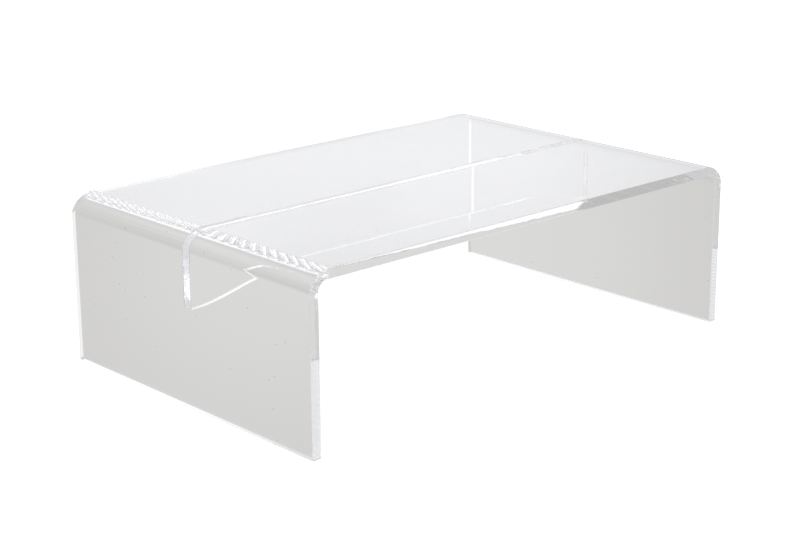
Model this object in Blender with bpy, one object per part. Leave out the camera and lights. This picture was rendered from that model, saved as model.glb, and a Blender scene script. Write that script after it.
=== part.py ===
"""A clear acrylic monitor riser: one heat-bent sheet, a stiffening rib under it and the cement in its joints.

The frame has its origin on the standing surface, under the middle of the riser. +X runs along the width,
from one leg to the other, +Y from the front edge to the back edge, and +Z is up.
"""

import math

import bmesh
import bpy

# Driving dimensions, in metres.
WIDTH = 0.440
DEPTH = 0.286
HEIGHT = 0.135
SHEET = 0.008  # thickness of the stock that both the riser and its rib are cut from
BEND_ALONG = 0.0205  # how far the bend's outer surface reaches along the deck
BEND_DOWN = 0.0160  # how far it reaches down the leg, which was clamped beside the heated line
BEND_INNER = 0.0080  # radius of its inner surface: a bend folded hot is thinner than the flats
RIB_MIDDLE_DEPTH = 0.040  # from the deck's underside to the rib's lower edge, along most of its length
RIB_END_DEPTH = 0.052  # the same, where the rib meets a leg
RIB_SWEEP = 0.078  # length of the curve between those two depths
RIB_LAND = 0.003  # flat stretch of the lower edge beside each leg
GAP = 0.0003  # clearance between pieces that touch
FILM = 0.0004  # thickness of a cement film
FILM_SETBACK = 0.0005  # how far a film stays inside the rib's two faces
EDGE_BREAK = 0.0005  # chamfer of the cut and polished edges

BEND_STEPS = 20
SWEEP_STEPS = 18
EDGE_ANGLE = math.radians(40.0)
SMOOTH_ANGLE = math.radians(30.0)

# Places that follow from them.
LEG_INSIDE = WIDTH / 2 - SHEET
UNDERSIDE = HEIGHT - SHEET
RIB_INSET = GAP + FILM + GAP  # from the riser's inner surface to the rib's glued edges
RIB_END_Z = UNDERSIDE - RIB_END_DEPTH
RIB_MIDDLE_Z = UNDERSIDE - RIB_MIDDLE_DEPTH

ACRYLIC = (0.93, 0.95, 0.955, 1.0)
ACRYLIC_EDGE = (0.88, 0.91, 0.92, 1.0)
CEMENT = (0.96, 0.965, 0.96, 1.0)
ACRYLIC_IOR = 1.49


def clear_scene():
    for existing in list(bpy.data.objects):
        bpy.data.objects.remove(existing, do_unlink=True)


def clear_plastic(name, colour, roughness):
    material = bpy.data.materials.new(name)
    material.use_nodes = True
    shader = material.node_tree.nodes["Principled BSDF"]
    shader.inputs["Base Color"].default_value = colour
    shader.inputs["Metallic"].default_value = 0.0
    shader.inputs["Roughness"].default_value = roughness
    shader.inputs["IOR"].default_value = ACRYLIC_IOR
    shader.inputs["Transmission Weight"].default_value = 1.0
    material.diffuse_color = colour
    return material


def bend_arc(face_x, face_z, reach_x, reach_z):
    """Points of a quarter ellipse on the right: from an upright face at face_x to a level one at face_z."""
    points = []
    for step in range(BEND_STEPS + 1):
        angle = math.pi / 2 * step / BEND_STEPS
        x = face_x - reach_x + reach_x * math.cos(angle)
        z = face_z - reach_z + reach_z * math.sin(angle)
        points.append((x, z))
    return points


def inside_bend(inset):
    """The bend's inner surface, moved into the space under the riser by the inset."""
    radius = BEND_INNER - inset
    return bend_arc(LEG_INSIDE - inset, UNDERSIDE - inset, radius, radius)


def backwards(points):
    return list(reversed(points))


def on_left(points):
    """The same points mirrored to the left-hand side, in the same order."""
    return [(-x, z) for x, z in points]


def riser_outline():
    """Round the bent sheet from the right leg's foot: up the outside, over the deck, down, back inside."""
    foot = [(LEG_INSIDE, 0.0), (WIDTH / 2, 0.0)]
    outer = bend_arc(WIDTH / 2, HEIGHT, BEND_ALONG, BEND_DOWN)
    inner = inside_bend(0.0)
    outside = foot + outer + on_left(backwards(outer))
    inside = on_left(backwards(foot)) + on_left(inner) + backwards(inner)
    return outside + inside


def rib_lower_edge():
    """Lower edge from the right leg to the middle stretch: a short land, then half a cosine wave upwards."""
    end_x = LEG_INSIDE - RIB_INSET
    points = [(end_x, RIB_END_Z)]
    for step in range(SWEEP_STEPS + 1):
        along = step / SWEEP_STEPS
        rise = (RIB_MIDDLE_Z - RIB_END_Z) * (1 - math.cos(math.pi * along)) / 2
        points.append((LEG_INSIDE - RIB_LAND - RIB_SWEEP * along, RIB_END_Z + rise))
    return points


def rib_outline():
    corner = inside_bend(RIB_INSET)
    lower = rib_lower_edge()
    return corner + on_left(backwards(corner)) + on_left(lower) + backwards(lower)


def corner_film_outline():
    """The cement between the rib and a leg, carried round the inside of the bend."""
    near_riser = inside_bend(GAP)
    near_rib = inside_bend(GAP + FILM)
    foot_z = RIB_END_Z + GAP
    foot = [(near_rib[0][0], foot_z), (near_riser[0][0], foot_z)]
    return foot + near_riser + backwards(near_rib)


def deck_film_outline():
    half_length = LEG_INSIDE - BEND_INNER - GAP
    top = UNDERSIDE - GAP
    bottom = top - FILM
    return [(half_length, bottom), (half_length, top), (-half_length, top), (-half_length, bottom)]


def extruded(name, outline, thickness, material):
    """A closed solid: the outline stands in the XZ plane and is extruded along Y, half to each side."""
    shape = bmesh.new()
    ring = [shape.verts.new((x, -thickness / 2, z)) for x, z in outline]
    face = shape.faces.new(ring)
    grown = bmesh.ops.extrude_face_region(shape, geom=[face])
    moved = [item for item in grown["geom"] if isinstance(item, bmesh.types.BMVert)]
    bmesh.ops.translate(shape, verts=moved, vec=(0.0, thickness, 0.0))
    bmesh.ops.recalc_face_normals(shape, faces=shape.faces)
    mesh = bpy.data.meshes.new(name)
    shape.to_mesh(mesh)
    shape.free()
    mesh.shade_smooth()
    mesh.set_sharp_from_angle(angle=SMOOTH_ANGLE)
    mesh.materials.append(material)
    piece = bpy.data.objects.new(name, mesh)
    bpy.context.scene.collection.objects.link(piece)
    return piece


def chamfer_edges(piece):
    bevel = piece.modifiers.new("polished_edges", "BEVEL")
    bevel.width = EDGE_BREAK
    bevel.segments = 1
    bevel.limit_method = "ANGLE"
    bevel.angle_limit = EDGE_ANGLE


def make_riser_sheet():
    material = clear_plastic("clear_acrylic", ACRYLIC, 0.03)
    chamfer_edges(extruded("riser_sheet", riser_outline(), DEPTH, material))


def make_stiffening_rib():
    material = clear_plastic("clear_acrylic_rib", ACRYLIC_EDGE, 0.05)
    chamfer_edges(extruded("stiffening_rib", rib_outline(), SHEET, material))


def make_cement_seams():
    film_width = SHEET - 2 * FILM_SETBACK
    corner = corner_film_outline()
    outlines = {
        "cement_seam_deck": deck_film_outline(),
        "cement_seam_left": on_left(corner),
        "cement_seam_right": corner,
    }
    for name, outline in outlines.items():
        extruded(name, outline, film_width, clear_plastic(name, CEMENT, 0.12))


clear_scene()
make_riser_sheet()
make_stiffening_rib()
make_cement_seams()
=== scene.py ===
"""Looks for the clear acrylic monitor riser: fine meshes, clear plastic, a pale studio and the camera."""

import math

import bmesh
import bpy
from mathutils import Matrix, Vector, noise


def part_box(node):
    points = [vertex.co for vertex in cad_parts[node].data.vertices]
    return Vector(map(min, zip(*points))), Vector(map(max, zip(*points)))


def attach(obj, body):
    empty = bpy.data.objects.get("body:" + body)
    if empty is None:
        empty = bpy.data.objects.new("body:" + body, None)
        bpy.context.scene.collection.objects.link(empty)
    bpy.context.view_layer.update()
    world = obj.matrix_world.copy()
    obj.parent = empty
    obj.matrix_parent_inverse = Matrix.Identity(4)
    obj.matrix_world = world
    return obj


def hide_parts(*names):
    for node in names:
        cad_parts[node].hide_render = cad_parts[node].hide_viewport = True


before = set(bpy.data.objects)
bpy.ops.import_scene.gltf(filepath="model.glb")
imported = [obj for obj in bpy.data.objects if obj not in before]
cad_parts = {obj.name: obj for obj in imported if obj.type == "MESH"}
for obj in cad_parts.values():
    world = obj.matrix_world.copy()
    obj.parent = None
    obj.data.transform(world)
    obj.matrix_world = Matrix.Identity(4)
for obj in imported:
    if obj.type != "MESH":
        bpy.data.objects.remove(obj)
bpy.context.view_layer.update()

# ---------------------------------------------------------------- sizes, in metres, from the frame
SHEET_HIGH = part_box("riser_sheet")[1]
RIB_LOW, RIB_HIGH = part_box("stiffening_rib")

HALF_WIDTH = SHEET_HIGH.x
HALF_DEPTH = SHEET_HIGH.y
HEIGHT = SHEET_HIGH.z
SHEET = RIB_HIGH.y - RIB_LOW.y  # the rib and the riser are cut from one stock
HALF_SHEET = SHEET / 2
LEG_INSIDE = HALF_WIDTH - SHEET
UNDERSIDE = HEIGHT - SHEET
BEND_OUTER = (0.0205, 0.0160)  # how far the outer bend reaches along the deck and down the leg
BEND_INNER = 0.0080  # the bend is thinner than the sheet, as a bend that is folded hot comes out
RIB_END_Z = RIB_LOW.z
RIB_MIDDLE_DEPTH = 0.040  # from the deck to the rib's lower edge, along most of its length
RIB_MIDDLE_Z = UNDERSIDE - RIB_MIDDLE_DEPTH
RIB_SWEEP = 0.078  # length of the curve in the rib's lower edge
RIB_LAND = 0.003  # flat stretch of that edge beside each leg

# ---------------------------------------------------------------- mesh detail
BEND_STEPS = 56
SWEEP_STEPS = 40
CORNER_STEPS = 28  # round each of the rib's upper corners
EDGE_RADIUS = 0.00035  # polished round along every cut edge
EDGE_TURNS = 4
FOOT_RADIUS = 0.0004  # the same round at the legs' lower corners
HOLD = 0.0002  # distance of the rows that keep a flat face flat beside a round
ROW_PITCH = 0.0015  # spacing of the rows across the depth
CAP_STRIPS = 6  # divisions of an end face across the sheet's thickness
SHARP_ANGLE = math.radians(40.0)
FLATNESS = 100  # weight of a face's area in the smoothed normals, the most there is
CONTACT = 0.00005  # how far two bonded faces run into each other, so that no air is left between

# What heating and folding left in the bends.
LINE_DEPTH = 0.00003  # of the drawn lines at the back, where the fold ended
LINES_LOST = 0.67  # share of that depth lost at the front
SWELL_DEPTH = 0.000022  # of the swells at the front, where the fold began
SWELL_LOST = 0.9  # share of that depth lost at the back
FRONT_FADE = 0.012  # distance over which front turns to back, at the middle
CRINKLE_DEPTH = 0.00012
CRINKLE_REACH = 0.010  # how far from each end of a bend its surface is crinkled
PULL_REACH = 0.006  # how far from each end the folding draws the bend's surfaces in
PULL_IN = 0.00025
NECK = 0.00045  # how far folding draws a bend's ends in along Y, on its outside
OUTER_NECK = 1.0  # share of the neck that the outer surface takes
INNER_NECK = 0.25
DENT = 0.00016  # depth of the dimples left in a bend's ends
# Noise in the bends: waves per metre along a bend, waves round it, and a factor that tells the walls apart.
LINE_NOISE = (9.0, 26.0, 7.3)
SWELL_NOISE = (28.0, 5.0, 3.1)
SWELL_SEED = 11.0
CRINKLE_NOISE = (160.0, 7.0, 5.7)
NECK_NOISE = (7.0, 40.0, 4.3)  # here the waves round the bend come first
NECK_UNEVEN = 0.8
DENT_WAVES = 300.0  # per metre
DENT_SEED = 3.0
OUTER_WALL = 1.0
INNER_WALL = 2.0
RIGHT_BEND = 5.0  # added for the walls of the right-hand bend

# The cement in the joints.
JOINT_PITCH = 0.0012  # spacing of the stations along a joint
BEAD_TURNS = 5
BEAD_LEAST = 0.00022  # width of the cement bead where hardly any ran out
BEAD_MOST = 0.00125
BEAD_SLOW = (35.0, 3.7)  # waves per metre, and a factor that tells the rib's two faces apart
BEAD_QUICK = (190.0, 9.1)
BEAD_QUICK_SHARE = 0.45
FILM_HALF = 0.00012  # half the thickness of the film in a joint
FILM_SETBACK = 0.0004  # how far the film stays inside the rib's faces
# Stretches of the films, in metres: along X under the deck, and up Z in the joints with the legs.
FULL_WIDTH = (-0.005, 0.005)
NOWHERE = (1.0, 1.001)  # outside the object
DECK_FILM = {
    "dry": (-0.198, 0.162),
    "lilac": (0.146, 0.162),
    "white": (-0.198, 0.134),
    "across": (-0.0036, -0.0006),
}
LEFT_FILM = {"dry": (0.076, 0.129), "lilac": (0.085, 0.1165), "white": (0.085, 0.104), "across": FULL_WIDTH}
RIGHT_FILM = {"dry": (0.088, 0.106), "lilac": (0.088, 0.106), "white": NOWHERE, "across": FULL_WIDTH}
DECK_STREAKS = (110.0, 500.0, 1.0)  # waves per metre along X, Y and Z
LEG_STREAKS = (1.0, 330.0, 900.0)
STREAK_TURN = (0.7, 0.0, 0.5)
FILM_RAGGED = 0.006  # how far the ends of a stretch wander
FILM_END = 0.001  # half the distance over which a stretch begins or ends
FILM_SIDE = 0.0003  # the same across the rib

# Colours, and the depths of bumps.
ACRYLIC_IOR = 1.49
ACRYLIC_DEPTH_COLOUR = (0.10, 0.14, 0.20, 1.0)
CLEAR = (1.0, 1.0, 1.0)
DUST = (0.62, 0.60, 0.58)
EDGE_TONE = (0.97, 0.97, 0.985)
# Painted shade: the dry film's grey, darkened to the tone of the shaded acrylic around it.
FILM_SHADE = (0.63, 0.62, 0.64)
FILM_LILAC = (0.80, 0.79, 0.84)
FILM_WHITE = (0.97, 0.97, 0.98)
FILM_PAINTED_GLOW = 0.75  # painted glow: the film emits light of its own colour, standing in for light that the air in the film scatters on from inside the sheet
ACRYLIC_DENSITY = 0.02  # of the tint, per metre
WAVE_DEPTH = 0.000016  # height of the slow waves in the cast sheet
RIPPLE_DEPTH = 0.00001  # of the cutter's ripples across the edges
SKIN_DEPTH = 0.00006  # of the wrinkles in a cement bead
STREAK_DEPTH = 0.0001  # of the streaks in a film
SMUDGE_ROUGHNESS = 0.03
HAZE_ROUGHNESS = 0.06
SPECKS_PER_METRE = 62.0
SPECK_REACH = (0.055, 0.030)  # where a speck of dust fades out and where it is full, in cells


def spaced(start, end, pitch):
    count = max(1, round(abs(end - start) / pitch))
    return [start + (end - start) * step / count for step in range(count + 1)]


def new_piece(name, vertices, faces, materials, second=None):
    """A closed, smooth-shaded mesh. Faces whose centre passes the second test take the second material."""
    shape = bmesh.new()
    corners = [shape.verts.new(spot) for spot in vertices]
    for face in faces:
        shape.faces.new([corners[index] for index in face])
    bmesh.ops.recalc_face_normals(shape, faces=shape.faces)
    for face in shape.faces:
        face.smooth = True
        if second and second(face.calc_center_median()):
            face.material_index = 1
    mesh = bpy.data.meshes.new(name)
    shape.to_mesh(mesh)
    shape.free()
    for material in materials:
        mesh.materials.append(material)
    mesh.set_sharp_from_angle(angle=SHARP_ANGLE)
    piece = bpy.data.objects.new(name, mesh)
    bpy.context.scene.collection.objects.link(piece)
    level = piece.modifiers.new("flat_faces_stay_flat", "WEIGHTED_NORMAL")
    level.weight = FLATNESS
    level.keep_sharp = True
    return piece


def tube_faces(rows, loop):
    """Quads between each closed ring of vertices and the next."""
    faces = []
    for row in range(rows - 1):
        for step in range(loop):
            a = row * loop + step
            b = row * loop + (step + 1) % loop
            faces.append((a, b, b + loop, a + loop))
    return faces


# ---------------------------------------------------------------- the bent sheet
def bend_walk(face_x, face_z, reach):
    """Stations along one wall of the sheet from the left foot over the deck to the right foot.

    Each is (place, normal, turn). A bend is a quarter of an ellipse that reaches this far along the deck and
    down the leg. Turn runs from 0 to 1 round a bend, and is 0 on the flats.
    """
    reach_x, reach_z = reach
    stations = []
    for z in (FOOT_RADIUS, FOOT_RADIUS + HOLD, face_z - reach_z - HOLD):
        stations.append((Vector((-face_x, 0.0, z)), Vector((-1.0, 0.0, 0.0)), 0.0))
    for step in range(BEND_STEPS + 1):
        angle = math.pi / 2 * step / BEND_STEPS
        over = math.cos(angle)
        up = math.sin(angle)
        place = Vector((reach_x * (1 - over) - face_x, 0.0, face_z - reach_z * (1 - up)))
        normal = Vector((-over / reach_x, 0.0, up / reach_z)).normalized()
        stations.append((place, normal, step / BEND_STEPS))
    stations.append((Vector((reach_x + HOLD - face_x, 0.0, face_z)), Vector((0.0, 0.0, 1.0)), 0.0))
    flip = Vector((-1.0, 1.0, 1.0))
    return stations + [(place * flip, normal * flip, turn) for place, normal, turn in reversed(stations)]


def bend_noise(waves, first, second, wall, seed=0.0):
    return noise.noise(Vector((first * waves[0], second * waves[1], wall * waves[2] + seed)))


def draw_lines(along, turn, wall):
    """Height of the fine lines and swells that heating and folding leave in a bend, in metres.

    The fold began at the front: swells are strongest there, and lines along the bend are deepest at the back.
    """
    share = math.sin(math.pi * turn)
    to_end = HALF_DEPTH - abs(along)
    front = 1.0 / (1.0 + math.exp(along / FRONT_FADE))
    lines = bend_noise(LINE_NOISE, along, turn, wall) * (1.0 - LINES_LOST * front)
    swell = bend_noise(SWELL_NOISE, along, turn, wall, SWELL_SEED) * (1.0 - SWELL_LOST * (1.0 - front))
    crinkle = bend_noise(CRINKLE_NOISE, along, turn, wall) * math.exp(-to_end / CRINKLE_REACH)
    pull_in = math.exp(-to_end / PULL_REACH)
    return share * (LINE_DEPTH * lines + SWELL_DEPTH * swell + CRINKLE_DEPTH * crinkle - PULL_IN * pull_in)


def end_neck(along, turn, wall):
    """How far the sheet's end is drawn in along Y, where a bend stretched it."""
    share = math.sin(math.pi * turn)
    to_end = HALF_DEPTH - abs(along)
    ripple = bend_noise(NECK_NOISE, turn, along, wall)
    return math.copysign(share * NECK * (1.0 + NECK_UNEVEN * ripple) * math.exp(-to_end / PULL_REACH), along)


def edge_rows():
    """(y, inset) of each ring across the depth: the polished round of one edge, the flats, the other edge."""
    rows = [(HALF_DEPTH, EDGE_RADIUS + HOLD)]
    for step in range(EDGE_TURNS + 1):
        angle = math.pi / 2 * step / EDGE_TURNS
        y = HALF_DEPTH - EDGE_RADIUS * (1 - math.cos(angle))
        rows.append((y, EDGE_RADIUS * (1 - math.sin(angle))))
    first = HALF_DEPTH - EDGE_RADIUS - HOLD
    middle = [(y, 0.0) for y in spaced(first, -first, ROW_PITCH)]
    return rows + middle + [(-y, inset) for y, inset in reversed(rows)]


def foot_corner(face_x, inward, y, inset):
    """The round from a leg's face down to its lower end."""
    points = []
    radius = FOOT_RADIUS - inset
    for step in range(1, EDGE_TURNS + 1):
        angle = math.pi / 2 * step / EDGE_TURNS
        x = face_x + inward * (FOOT_RADIUS - radius * math.cos(angle))
        points.append((x, y, FOOT_RADIUS - radius * math.sin(angle)))
    return points


def sheet_ring(outer_walk, inner_walk, y, inset):
    """One closed ring round the sheet at this y, drawn in by the inset."""

    def wall_points(walk, inset, left_wall, necked):
        points = []
        for place, normal, turn in walk:
            wall = left_wall if place.x < 0 else left_wall + RIGHT_BEND
            spot = place + normal * (draw_lines(y, turn, wall) - inset)
            points.append((spot.x, y - necked * end_neck(y, turn, wall), spot.z))
        return points

    outer = wall_points(outer_walk, inset, OUTER_WALL, OUTER_NECK)
    inner = wall_points(inner_walk, -inset, INNER_WALL, INNER_NECK)
    right = foot_corner(HALF_WIDTH, -1, y, inset) + foot_corner(LEG_INSIDE, 1, y, inset)[::-1]
    left = foot_corner(-LEG_INSIDE, -1, y, inset) + foot_corner(-HALF_WIDTH, 1, y, inset)[::-1]
    return outer + right + inner[::-1] + left


def sheet_cap(vertices, base, outer_walk):
    """The flat end of the sheet at one ring: strips between its two walls, and a face at each foot."""
    feet = 2 * EDGE_TURNS
    count = len(outer_walk)
    columns = []
    for step in range(count):
        outer = base + step
        inner = base + 2 * count + feet - 1 - step
        column = [outer]
        for strip in range(1, CAP_STRIPS):
            spot = Vector(vertices[outer]).lerp(Vector(vertices[inner]), strip / CAP_STRIPS)
            turn = outer_walk[step][2]
            dimple = noise.noise(Vector((spot.x * DENT_WAVES, DENT_SEED, spot.z * DENT_WAVES)))
            dent = DENT * math.sin(math.pi * turn) * (1 + dimple)
            vertices.append((spot.x, spot.y - math.copysign(dent, spot.y), spot.z))
            column.append(len(vertices) - 1)
        columns.append(column + [inner])
    faces = []
    for near, far in zip(columns, columns[1:]):
        for strip in range(CAP_STRIPS):
            faces.append((near[strip], near[strip + 1], far[strip + 1], far[strip]))
    right = list(range(base + count, base + count + feet))
    left = list(range(base + 2 * count + feet, base + 2 * count + 2 * feet))
    faces.append(columns[-1][::-1] + right)
    faces.append(columns[0] + left)
    return faces


def make_riser_sheet(materials):
    outer_walk = bend_walk(HALF_WIDTH, HEIGHT, BEND_OUTER)
    inner_walk = bend_walk(LEG_INSIDE, UNDERSIDE, (BEND_INNER, BEND_INNER))
    rows = edge_rows()
    vertices = []
    for y, inset in rows:
        vertices += sheet_ring(outer_walk, inner_walk, y, inset)
    loop = len(vertices) // len(rows)
    faces = tube_faces(len(rows), loop)
    faces += sheet_cap(vertices, 0, outer_walk)
    faces += sheet_cap(vertices, (len(rows) - 1) * loop, outer_walk)

    def on_cut_edge(centre):
        return abs(centre.y) > HALF_DEPTH - EDGE_RADIUS or centre.z < FOOT_RADIUS

    return new_piece("riser_sheet_fine", vertices, faces, materials, on_cut_edge)


# ---------------------------------------------------------------- the rib
def rib_lower_z(x):
    """Height of the rib's lower edge: level beside the legs, half a cosine wave up, level to the middle."""
    along = (LEG_INSIDE - RIB_LAND - abs(x)) / RIB_SWEEP
    along = min(1.0, max(0.0, along))
    return RIB_END_Z + (RIB_MIDDLE_Z - RIB_END_Z) * (1 - math.cos(math.pi * along)) / 2


def rib_upper_z(x):
    """Height of the rib's upper edge, which follows the deck's underside and the inside of each bend."""
    radius = BEND_INNER + CONTACT
    reach = abs(x) - (LEG_INSIDE - BEND_INNER)
    drop = radius - math.sqrt(max(0.0, radius * radius - reach * reach)) if reach > 0 else 0.0
    return UNDERSIDE + CONTACT - drop


def rib_stations():
    """X of each station along the rib: close together round the corners and along the sweeps."""
    radius = BEND_INNER + CONTACT
    corner_x = LEG_INSIDE - BEND_INNER
    turns = [math.pi / 2 * step / CORNER_STEPS for step in range(CORNER_STEPS + 1)]
    corner = [corner_x + radius * math.sin(angle) for angle in turns]
    sweep_end = LEG_INSIDE - RIB_LAND
    sweep = spaced(sweep_end - RIB_SWEEP, sweep_end, RIB_SWEEP / SWEEP_STEPS)
    half = [x for x in sweep if x < corner[0] - HOLD] + corner
    return [-x for x in reversed(half)] + half


def make_stiffening_rib(materials):
    """The rib's two faces are strips between its upper and lower edges, and the lower edge is rounded."""
    stations = rib_stations()
    count = len(stations)
    vertices = []
    for y in (-HALF_SHEET, HALF_SHEET):
        vertices += [(x, y, rib_upper_z(x)) for x in stations]
        vertices += [(x, y, rib_lower_z(x)) for x in reversed(stations)]
    faces = tube_faces(2, 2 * count)
    for base in (0, 2 * count):
        for step in range(count - 1):
            upper = base + step
            lower = base + 2 * count - 1 - step
            faces.append((upper, upper + 1, lower - 1, lower))

    def on_cut_edge(centre):
        return abs(centre.y) < HALF_SHEET / 2

    piece = new_piece("stiffening_rib_fine", vertices, faces, materials, on_cut_edge)
    shape = bmesh.new()
    shape.from_mesh(piece.data)
    lower_edges = []
    for edge in shape.edges:
        start, end = (corner.co for corner in edge.verts)
        along_edge = abs(start.y - end.y) < HOLD and start.z < rib_lower_z(start.x) + HOLD
        if along_edge and end.z < rib_lower_z(end.x) + HOLD:
            lower_edges.append(edge)
    bmesh.ops.bevel(
        shape, geom=lower_edges, offset=EDGE_RADIUS, segments=EDGE_TURNS, profile=0.5, affect="EDGES"
    )
    shape.to_mesh(piece.data)
    shape.free()
    return piece


# ---------------------------------------------------------------- the cement
def deck_joint():
    """Places along the joint under the deck: (x, z, inward x, inward z) on the riser's inner surface."""
    reach = LEG_INSIDE - BEND_INNER
    return [(x, UNDERSIDE, 0.0, -1.0) for x in spaced(-reach, reach, JOINT_PITCH)]


def leg_joint(side):
    """The same from a bend's upper end round its inside and down the leg to the rib's lower edge."""
    centre_x = LEG_INSIDE - BEND_INNER
    centre_z = UNDERSIDE - BEND_INNER
    places = []
    for step in range(CORNER_STEPS + 1):
        angle = math.pi / 2 * step / CORNER_STEPS
        x = centre_x + BEND_INNER * math.sin(angle)
        z = centre_z + BEND_INNER * math.cos(angle)
        places.append((side * x, z, -side * math.sin(angle), -math.cos(angle)))
    for z in spaced(centre_z, RIB_END_Z, JOINT_PITCH)[1:]:
        places.append((side * LEG_INSIDE, z, -side, 0.0))
    return places


def bead_size(place, side, seed):
    """Width of the squeezed-out bead here: a hairline, with swellings where more cement ran out."""
    x, z = place[0], place[1]

    def swelling(waves, factor):
        return noise.noise(Vector((x * waves, z * waves, seed + side * factor)))

    slow = swelling(*BEAD_SLOW)
    quick = swelling(*BEAD_QUICK)
    return BEAD_LEAST + BEAD_MOST * max(0.0, slow + BEAD_QUICK_SHARE * quick)


def bead_section(size):
    """The bead's outline as (off the sheet, off the rib): two bonded sides and the hollow curve between."""
    section = [(-CONTACT, -CONTACT), (-CONTACT, size)]
    for step in range(BEAD_TURNS + 1):
        angle = math.pi / 2 * step / BEAD_TURNS
        section.append((size * (1 - math.cos(angle)), size * (1 - math.sin(angle))))
    return section + [(size, -CONTACT)]


def lofted(vertices, sections):
    """Closed skin through rings of points of equal length, capped at both ends."""
    base = len(vertices)
    loop = len(sections[0])
    for section in sections:
        vertices += section
    faces = [tuple(base + index for index in face) for face in tube_faces(len(sections), loop)]
    last = base + (len(sections) - 1) * loop
    return faces + [tuple(range(base, base + loop)), tuple(range(last, last + loop))]


def make_cement_seam(name, places, seed, materials):
    """A film across the rib's glued edge, and a bead along each of the rib's faces."""
    vertices = []
    sections = []
    half = HALF_SHEET - FILM_SETBACK
    for x, z, in_x, in_z in places:
        ring = []
        for off, y in ((-FILM_HALF, -half), (-FILM_HALF, half), (FILM_HALF, half), (FILM_HALF, -half)):
            ring.append((x + in_x * off, y, z + in_z * off))
        sections.append(ring)
    faces = lofted(vertices, sections)
    for side in (-1, 1):
        sections = []
        for place in places:
            x, z, in_x, in_z = place
            ring = []
            for off_sheet, off_rib in bead_section(bead_size(place, side, seed)):
                ring.append((x + in_x * off_sheet, side * (HALF_SHEET + off_rib), z + in_z * off_sheet))
            sections.append(ring)
        faces += lofted(vertices, sections)

    def on_film(centre):
        return abs(centre.y) < HALF_SHEET - 2 * CONTACT

    return new_piece(name, vertices, faces, materials, on_film)


# ---------------------------------------------------------------- materials
# The colour sockets of a Mix node, which has others of the same names.
MIX_FIRST = 6
MIX_SECOND = 7
MIX_RESULT = 2


def add_node(tree, kind, **settings):
    """A shader node. Settings name its properties, and an inputs dict its socket values."""
    made = tree.nodes.new(kind)
    for socket, value in settings.pop("inputs", {}).items():
        made.inputs[socket].default_value = value
    for name, value in settings.items():
        setattr(made, name, value)
    return made


def colour_mix(tree, factor, first, second):
    """A colour between two colours or sockets."""
    mix = add_node(tree, "ShaderNodeMix", data_type="RGBA")
    tree.links.new(factor, mix.inputs["Factor"])
    for slot, value in ((MIX_FIRST, first), (MIX_SECOND, second)):
        if isinstance(value, tuple):
            mix.inputs[slot].default_value = (*value, 1.0)
        else:
            tree.links.new(value, mix.inputs[slot])
    return mix.outputs[MIX_RESULT]


def ramp_between(tree, value, start, end):
    """0 where the value is at start, 1 at end, smooth in between."""
    ramp = add_node(tree, "ShaderNodeMapRange", interpolation_type="SMOOTHSTEP",
                    inputs={"From Min": start, "From Max": end})
    tree.links.new(value, ramp.inputs["Value"])
    return ramp.outputs["Result"]


def times(tree, first, second):
    product = add_node(tree, "ShaderNodeMath", operation="MULTIPLY")
    tree.links.new(first, product.inputs[0])
    tree.links.new(second, product.inputs[1])
    return product.outputs[0]


def scaled_value(tree, value, low, high):
    """A 0 to 1 value as a value between low and high."""
    scaled = add_node(tree, "ShaderNodeMapRange", inputs={"To Min": low, "To Max": high})
    tree.links.new(value, scaled.inputs["Value"])
    return scaled.outputs["Result"]


def texture(tree, kind, place, inputs, **settings):
    made = add_node(tree, kind, inputs=inputs, **settings)
    tree.links.new(place, made.inputs["Vector"])
    return made


def stretched_place(tree, scale, turn=(0.0, 0.0, 0.0)):
    """Object coordinates in metres, turned and then scaled along each axis."""
    place = add_node(tree, "ShaderNodeTexCoord").outputs["Object"]
    mapping = add_node(tree, "ShaderNodeMapping", inputs={"Rotation": turn, "Scale": scale})
    tree.links.new(place, mapping.inputs["Vector"])
    return mapping.outputs["Vector"]


def add_bump(tree, shader, height, depth):
    """Bump of a 0 to 1 height that stands for this depth in metres."""
    bump = add_node(tree, "ShaderNodeBump", inputs={"Strength": 1.0, "Distance": depth})
    tree.links.new(height, bump.inputs["Height"])
    tree.links.new(bump.outputs["Normal"], shader.inputs["Normal"])


def clear_plastic(name):
    """A clear acrylic to be detailed: its index, and a faint tint that deepens with the path through it."""
    material = bpy.data.materials.new(name)
    material.use_nodes = True
    tree = material.node_tree
    shader = tree.nodes["Principled BSDF"]
    shader.inputs["IOR"].default_value = ACRYLIC_IOR
    shader.inputs["Transmission Weight"].default_value = 1.0
    depth = add_node(tree, "ShaderNodeVolumeAbsorption",
                     inputs={"Color": ACRYLIC_DEPTH_COLOUR, "Density": ACRYLIC_DENSITY})
    tree.links.new(depth.outputs[0], tree.nodes["Material Output"].inputs["Volume"])
    return material, tree, shader


def make_surface_material():
    """The sheet's polished faces: slow waves of cast acrylic, dust specks and faint smudges."""
    material, tree, shader = clear_plastic("acrylic_surface")
    metres = stretched_place(tree, (1.0, 1.0, 1.0))
    waves = texture(tree, "ShaderNodeTexNoise", metres, {"Scale": 48.0, "Detail": 1.0, "Roughness": 0.4})
    add_bump(tree, shader, waves.outputs["Fac"], WAVE_DEPTH)
    smudges = texture(tree, "ShaderNodeTexNoise", metres, {"Scale": 16.0, "Detail": 4.0, "Roughness": 0.6})
    patches = ramp_between(tree, smudges.outputs["Fac"], 0.52, 0.72)
    tree.links.new(scaled_value(tree, patches, 0.0, SMUDGE_ROUGHNESS), shader.inputs["Roughness"])
    cells = texture(tree, "ShaderNodeTexVoronoi", metres, {"Scale": SPECKS_PER_METRE})
    speck = ramp_between(tree, cells.outputs["Distance"], *SPECK_REACH)
    tree.links.new(colour_mix(tree, speck, CLEAR, DUST), shader.inputs["Base Color"])
    return material


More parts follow.
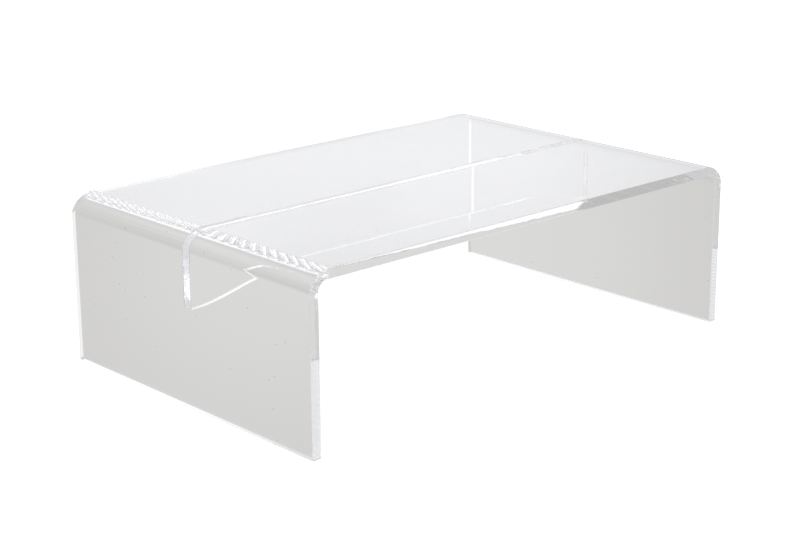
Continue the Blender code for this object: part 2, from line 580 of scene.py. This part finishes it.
def make_edge_material():
    """The cut edges: flame-polished, so still clear, with the cutter's faint ripples left across them."""
    material, tree, shader = clear_plastic("acrylic_edge")
    across = stretched_place(tree, (260.0, 60.0, 260.0))
    ripples = texture(tree, "ShaderNodeTexNoise", across, {"Scale": 1.0, "Detail": 3.0, "Roughness": 0.55})
    add_bump(tree, shader, ripples.outputs["Fac"], RIPPLE_DEPTH)
    metres = stretched_place(tree, (1.0, 1.0, 1.0))
    haze = texture(tree, "ShaderNodeTexNoise", metres, {"Scale": 90.0, "Detail": 3.0, "Roughness": 0.6})
    tone = ramp_between(tree, haze.outputs["Fac"], 0.50, 0.75)
    tree.links.new(scaled_value(tree, tone, 0.0, HAZE_ROUGHNESS), shader.inputs["Roughness"])
    tree.links.new(colour_mix(tree, tone, CLEAR, EDGE_TONE), shader.inputs["Base Color"])
    return material


def make_bead_material():
    """Squeezed-out cement: as clear as the acrylic, with a skin that shrank as it dried."""
    material, tree, shader = clear_plastic("cement_bead")
    metres = stretched_place(tree, (1.0, 1.0, 1.0))
    skin = texture(tree, "ShaderNodeTexNoise", metres, {"Scale": 700.0, "Detail": 2.0, "Roughness": 0.5})
    add_bump(tree, shader, skin.outputs["Fac"], SKIN_DEPTH)
    cloud = texture(tree, "ShaderNodeTexNoise", metres, {"Scale": 140.0, "Detail": 2.0, "Roughness": 0.5})
    tree.links.new(scaled_value(tree, cloud.outputs["Fac"], 0.02, 0.30), shader.inputs["Roughness"])
    tree.links.new(colour_mix(tree, cloud.outputs["Fac"], CLEAR, EDGE_TONE), shader.inputs["Base Color"])
    return material


def make_film_material(name, axis, spans, streak_scale):
    """The joint itself, seen through the acrylic: clear where cement wetted it, streaked where air stayed.

    Along one axis of the object the joint is dry within a span, and there it is a grey of painted shade, with
    lilac streaks within the lilac span and milky white within the white one. Across the rib it is dry within
    its Y span.
    """
    material = bpy.data.materials.new(name)
    material.use_nodes = True
    tree = material.node_tree
    shader = tree.nodes["Principled BSDF"]
    shader.inputs["IOR"].default_value = ACRYLIC_IOR
    shader.inputs["Specular IOR Level"].default_value = 0.0
    # Painted glow: the film emits light though it is no lamp.
    shader.inputs["Emission Strength"].default_value = FILM_PAINTED_GLOW
    streaks = texture(tree, "ShaderNodeTexNoise", stretched_place(tree, streak_scale, STREAK_TURN),
                      {"Scale": 1.0, "Detail": 2.0, "Roughness": 0.5, "Distortion": 0.3})
    metres = stretched_place(tree, (1.0, 1.0, 1.0))
    patches = texture(tree, "ShaderNodeTexNoise", metres, {"Scale": 220.0, "Detail": 2.0})
    split = add_node(tree, "ShaderNodeSeparateXYZ")
    tree.links.new(metres, split.inputs[0])
    ragged = add_node(tree, "ShaderNodeMath", operation="MULTIPLY_ADD", inputs={1: FILM_RAGGED})
    tree.links.new(patches.outputs["Fac"], ragged.inputs[0])
    tree.links.new(split.outputs[axis], ragged.inputs[2])

    def within(span, place=ragged.outputs[0], soft=FILM_END):
        start, end = spans[span]
        rise = ramp_between(tree, place, start - soft, start + soft)
        return times(tree, rise, ramp_between(tree, place, end + soft, end - soft))

    white = within("white")
    dry = times(tree, within("dry"), within("across", split.outputs["Y"], FILM_SIDE))
    streak = ramp_between(tree, streaks.outputs["Fac"], 0.38, 0.58)
    cover = scaled_value(tree, times(tree, white, streak), 0.55, 0.95)
    tree.links.new(times(tree, dry, cover), shader.inputs["Alpha"])
    lilac = within("lilac")
    # Painted shade grey, with lilac streaks in the lilac span.
    hatch = colour_mix(tree, times(tree, lilac, streak), FILM_SHADE, FILM_LILAC)
    colour = colour_mix(tree, white, hatch, colour_mix(tree, streak, FILM_LILAC, FILM_WHITE))
    tree.links.new(colour, shader.inputs["Base Color"])
    # The painted glow takes the film's own colour.
    tree.links.new(colour, shader.inputs["Emission Color"])
    tree.links.new(scaled_value(tree, streaks.outputs["Fac"], 0.3, 0.7), shader.inputs["Roughness"])
    add_bump(tree, shader, streaks.outputs["Fac"], STREAK_DEPTH)
    return material


# ---------------------------------------------------------------- the studio
# Brightness of the studio by height of direction: (sine of the elevation, colour).
STUDIO_LEVELS = (
    (-1.00, (0.470, 0.465, 0.463)),
    (-0.65, (0.512, 0.507, 0.504)),
    (-0.42, (0.606, 0.601, 0.594)),
    (-0.30, (0.632, 0.627, 0.620)),
    (-0.10, (0.610, 0.606, 0.601)),
    (0.02, (0.620, 0.620, 0.622)),
    (0.16, (0.795, 0.805, 0.830)),
    (0.235, (0.905, 0.915, 0.945)),
    (0.29, (0.835, 0.845, 0.877)),
    (0.335, (0.780, 0.787, 0.805)),
    (0.55, (0.860, 0.865, 0.880)),
    (0.66, (0.600, 0.600, 0.615)),
    (0.82, (0.600, 0.600, 0.615)),
    (0.92, (1.100, 1.105, 1.120)),
)
FLOOR_HALF = 6.0
FLOOR_COLOUR = (0.98, 0.965, 0.945, 1.0)
FLOOR_GLOW = 0.55
# Soft lights and shades. Azimuths are in degrees from +Y towards +X, and heights are sines of elevation.
SOFT_LIGHTS = (
    # azimuth, full within, none beyond, rises over, falls over, colour added
    # Glow on the backdrop, then the same higher and further left.
    (41.0, 2.0, 13.5, (0.03, 0.24), (0.27, 0.32), (0.20, 0.20, 0.205)),
    (27.0, 6.0, 13.0, (0.24, 0.33), (0.56, 0.64), (0.34, 0.34, 0.345)),
    # Lit floor: behind, at the front right, and a small patch at the right.
    (42.0, 0.0, 11.5, (-0.47, -0.27), (-0.27, -0.05), (0.085, 0.087, 0.088)),
    (152.0, 5.0, 11.0, (-0.62, -0.50), (-0.24, -0.19), (0.32, 0.32, 0.32)),
    (135.0, 1.5, 3.5, (-0.275, -0.262), (-0.215, -0.20), (0.36, 0.36, 0.365)),
    # Grey screen at the far right, and a long low strip light.
    (66.0, 3.0, 17.0, (-0.95, -0.90), (0.40, 0.50), (-0.25, -0.25, -0.245)),
    (151.0, 4.0, 9.0, (0.19, 0.205), (0.265, 0.28), (1.10, 1.12, 1.15)),
)


def near_azimuth(tree, heading, azimuth, full, none):
    """1 within one angle of an azimuth, and 0 beyond another, in degrees."""
    dot = add_node(tree, "ShaderNodeVectorMath", operation="DOT_PRODUCT")
    tree.links.new(heading, dot.inputs[0])
    turn = math.radians(azimuth)
    dot.inputs[1].default_value = (math.sin(turn), math.cos(turn), 0.0)
    edges = [math.cos(math.radians(angle)) for angle in (none, full)]
    return ramp_between(tree, dot.outputs["Value"], *edges)


def add_light(tree, light, share, colour):
    added = add_node(tree, "ShaderNodeMix", data_type="RGBA", blend_type="ADD")
    tree.links.new(share, added.inputs["Factor"])
    tree.links.new(light, added.inputs[MIX_FIRST])
    added.inputs[MIX_SECOND].default_value = (*colour, 1.0)
    return added.outputs[MIX_RESULT]


def make_world():
    """Light that depends on its direction only. The camera sees plain white behind the object."""
    world = bpy.data.worlds.new("studio")
    bpy.context.scene.world = world
    world.use_nodes = True
    tree = world.node_tree
    tree.nodes.clear()
    direction = add_node(tree, "ShaderNodeTexCoord").outputs["Generated"]
    split = add_node(tree, "ShaderNodeSeparateXYZ")
    tree.links.new(direction, split.inputs[0])
    height = split.outputs["Z"]
    as_share = add_node(tree, "ShaderNodeMath", operation="MULTIPLY_ADD")
    tree.links.new(height, as_share.inputs[0])
    as_share.inputs[1].default_value = 0.5
    as_share.inputs[2].default_value = 0.5
    levels = add_node(tree, "ShaderNodeValToRGB")
    tree.links.new(as_share.outputs[0], levels.inputs["Fac"])
    stops = levels.color_ramp.elements
    while len(stops) < len(STUDIO_LEVELS):
        stops.new(0.5)
    for stop, (level, colour) in zip(stops, STUDIO_LEVELS):
        stop.position = level / 2 + 0.5
        stop.color = (*colour, 1.0)
    light = levels.outputs["Color"]
    flat = add_node(tree, "ShaderNodeVectorMath", operation="MULTIPLY", inputs={1: (1.0, 1.0, 0.0)})
    tree.links.new(direction, flat.inputs[0])
    heading = add_node(tree, "ShaderNodeVectorMath", operation="NORMALIZE")
    tree.links.new(flat.outputs[0], heading.inputs[0])
    for azimuth, full, none, rise, fall, colour in SOFT_LIGHTS:
        share = near_azimuth(tree, heading.outputs[0], azimuth, full, none)
        share = times(tree, share, ramp_between(tree, height, *rise))
        share = times(tree, share, ramp_between(tree, height, *fall[::-1]))
        light = add_light(tree, light, share, colour)
    camera_sees = add_node(tree, "ShaderNodeLightPath").outputs["Is Camera Ray"]
    background = add_node(tree, "ShaderNodeBackground")
    tree.links.new(colour_mix(tree, camera_sees, light, (1.0, 1.0, 1.0)), background.inputs["Color"])
    out = add_node(tree, "ShaderNodeOutputWorld")
    tree.links.new(background.outputs[0], out.inputs[0])


def make_floor():
    """The acrylic refracts and reflects the studio's own lit floor, so it doesn't see this one."""
    mesh = bpy.data.meshes.new("floor")
    corners = [(x * FLOOR_HALF, y * FLOOR_HALF, 0.0) for x, y in ((-1, -1), (1, -1), (1, 1), (-1, 1))]
    mesh.from_pydata(corners, [], [(0, 1, 2, 3)])
    floor = bpy.data.objects.new("floor", mesh)
    bpy.context.scene.collection.objects.link(floor)
    material = bpy.data.materials.new("pale_floor")
    material.use_nodes = True
    shader = material.node_tree.nodes["Principled BSDF"]
    shader.inputs["Base Color"].default_value = FLOOR_COLOUR
    shader.inputs["Roughness"].default_value = 1.0
    shader.inputs["Specular IOR Level"].default_value = 0.0
    shader.inputs["Emission Color"].default_value = (1.0, 1.0, 1.0, 1.0)
    shader.inputs["Emission Strength"].default_value = FLOOR_GLOW
    mesh.materials.append(material)
    floor.visible_glossy = False
    floor.visible_transmission = False


# Light that is guided inside the sheet bounces this often before it leaves, and crosses the films this often.
GUIDED_BOUNCES = 400
FILM_CROSSINGS = 1024


# ---------------------------------------------------------------- camera
CAMERA_PLACE = Vector((-0.9680, -1.0469, 0.4960))
CAMERA_TURN = 0.7429  # towards +X from +Y, in radians, as are the other two
CAMERA_DIP = 0.2956
CAMERA_ROLL = -0.0061
LENS = 83.25  # in millimetres, as is the sensor
SENSOR = 36.0


def make_camera():
    forward = Vector((
        math.sin(CAMERA_TURN) * math.cos(CAMERA_DIP),
        math.cos(CAMERA_TURN) * math.cos(CAMERA_DIP),
        -math.sin(CAMERA_DIP),
    ))
    right = Vector((math.cos(CAMERA_TURN), -math.sin(CAMERA_TURN), 0.0))
    up = right.cross(forward)
    level_right = right * math.cos(CAMERA_ROLL) + up * math.sin(CAMERA_ROLL)
    level_up = up * math.cos(CAMERA_ROLL) - right * math.sin(CAMERA_ROLL)
    data = bpy.data.cameras.new("camera")
    data.lens = LENS
    data.sensor_width = SENSOR
    camera = bpy.data.objects.new("camera", data)
    bpy.context.scene.collection.objects.link(camera)
    camera.matrix_world = Matrix((
        (level_right.x, level_up.x, -forward.x, CAMERA_PLACE.x),
        (level_right.y, level_up.y, -forward.y, CAMERA_PLACE.y),
        (level_right.z, level_up.z, -forward.z, CAMERA_PLACE.z),
        (0.0, 0.0, 0.0, 1.0),
    ))
    bpy.context.scene.camera = camera


def finish_piece(piece, node):
    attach(piece, "root")
    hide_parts(node)


surface = make_surface_material()
edge = make_edge_material()
bead = make_bead_material()
deck_film = make_film_material("cement_film_deck", "X", DECK_FILM, DECK_STREAKS)
left_film = make_film_material("cement_film_left", "Z", LEFT_FILM, LEG_STREAKS)
right_film = make_film_material("cement_film_right", "Z", RIGHT_FILM, LEG_STREAKS)
finish_piece(make_riser_sheet([surface, edge]), "riser_sheet")
finish_piece(make_stiffening_rib([surface, edge]), "stiffening_rib")
for name, places, seed, film in (
    ("deck", deck_joint(), 2.0, deck_film),
    ("left", leg_joint(-1), 5.0, left_film),
    ("right", leg_joint(1), 8.0, right_film),
):
    seam = make_cement_seam("cement_" + name + "_fine", places, seed, [bead, film])
    finish_piece(seam, "cement_seam_" + name)
make_world()
make_floor()
make_camera()

scene = bpy.context.scene
scene.view_settings.view_transform = "Standard"
scene.cycles.max_bounces = GUIDED_BOUNCES
scene.cycles.glossy_bounces = GUIDED_BOUNCES
scene.cycles.transmission_bounces = GUIDED_BOUNCES
scene.cycles.transparent_max_bounces = FILM_CROSSINGS
